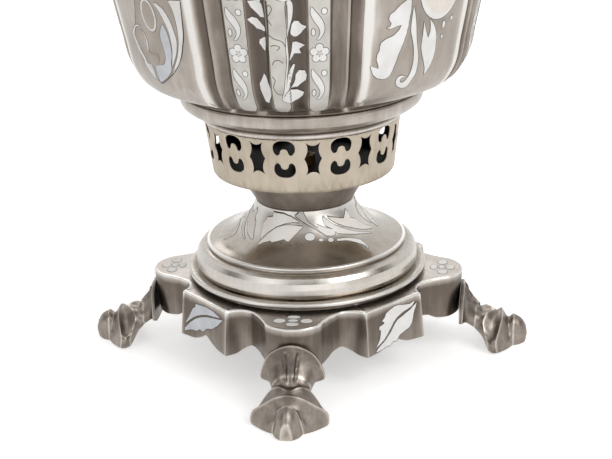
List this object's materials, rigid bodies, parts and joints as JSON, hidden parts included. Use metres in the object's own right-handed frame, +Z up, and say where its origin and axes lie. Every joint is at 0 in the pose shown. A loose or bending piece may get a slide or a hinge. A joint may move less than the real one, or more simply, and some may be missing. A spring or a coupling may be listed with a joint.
{
  "type": "samovar",
  "caption": "Coal-fired samovar: vase body with fluted corners and engraved panels, pierced gallery, bell foot, square plinth on cast feet, tap, crown and side handles.",
  "frame": {"origin": "on the ground under the middle of the overall box; the samovar's own axis stands 29.2 mm behind it, towards +Y, because the tap reaches out in front", "axes": "+Z up, -Y towards the tap, +X towards the right handle as seen from the tap"},
  "size_m": [0.3112, 0.2742, 0.4217],
  "materials": {
    "engraved_plate": "nickel-plated sheet brass, warm grey with brown tarnish, frosted engraved leaves",
    "plate": "nickel-plated sheet brass, polished and slightly tarnished",
    "cast_plate": "nickel-plated cast brass, worn bright on the ridges",
    "bare_brass": "turned bare brass",
    "tinned_brass": "hot-tinned brass, dull grey",
    "steel_rod": "drawn steel rod",
    "fire_iron": "raw cast iron, sooty",
    "turned_wood": "turned hardwood, dark varnish"
  },
  "bodies": {
    "base": {"base_ring": "plate", "bell_foot": "engraved_plate", "body_floor": "tinned_brass", "body_shell": "engraved_plate", "fire_tube": "tinned_brass", "foot_back_left": "cast_plate", "foot_back_right": "cast_plate", "foot_front_left": "cast_plate", "foot_front_right": "cast_plate", "gallery": "plate", "gallery_ring": "plate", "grate": "fire_iron", "handle_arm_left_front": "cast_plate", "handle_arm_left_rear": "cast_plate", "handle_arm_right_front": "cast_plate", "handle_arm_right_rear": "cast_plate", "handle_finial_left_front": "cast_plate", "handle_finial_left_rear": "cast_plate", "handle_finial_right_front": "cast_plate", "handle_finial_right_rear": "cast_plate", "handle_grip_left": "turned_wood", "handle_grip_right": "turned_wood", "handle_rod_left": "steel_rod", "handle_rod_right": "steel_rod", "neck_collar": "plate", "plinth": "engraved_plate", "shoulder_ring": "plate", "tap_body": "cast_plate", "tap_rosette": "plate", "tie_nut_lower": "bare_brass", "tie_nut_upper": "bare_brass", "tie_rod": "steel_rod", "tie_washer": "bare_brass"},
    "tap": {"tap_plug": "bare_brass", "tap_key": "cast_plate", "tap_washer": "bare_brass", "tap_nut": "bare_brass"},
    "lid": {"lid": "plate", "lid_stem_right": "plate", "lid_stem_left": "plate", "lid_knob_right": "turned_wood", "lid_knob_left": "turned_wood", "vent_seat": "plate"},
    "vent_cap": {"vent_cap": "plate"},
    "crown": {"crown": "plate", "crown_rim": "plate"},
    "cap": {"chimney_cap": "plate", "cap_knob": "turned_wood"}
  },
  "joints": [
    {"name": "tap_turn", "type": "hinge", "parent": "base", "child": "tap", "pos_m": [0, -0.09626, 0.181], "axis": [0, 0, 1], "range_deg": [0, 90]},
    {"name": "lid_lift", "type": "slide", "parent": "base", "child": "lid", "axis": [0, 0, 1], "range_m": [0, 0.075]},
    {"name": "vent_lift", "type": "slide", "parent": "lid", "child": "vent_cap", "axis": [0, 0, 1], "range_m": [0, 0.02]},
    {"name": "crown_lift", "type": "slide", "parent": "lid", "child": "crown", "axis": [0, 0, 1], "range_m": [0, 0.03]},
    {"name": "cap_lift", "type": "slide", "parent": "crown", "child": "cap", "axis": [0, 0, 1], "range_m": [0, 0.045]}
  ]
}
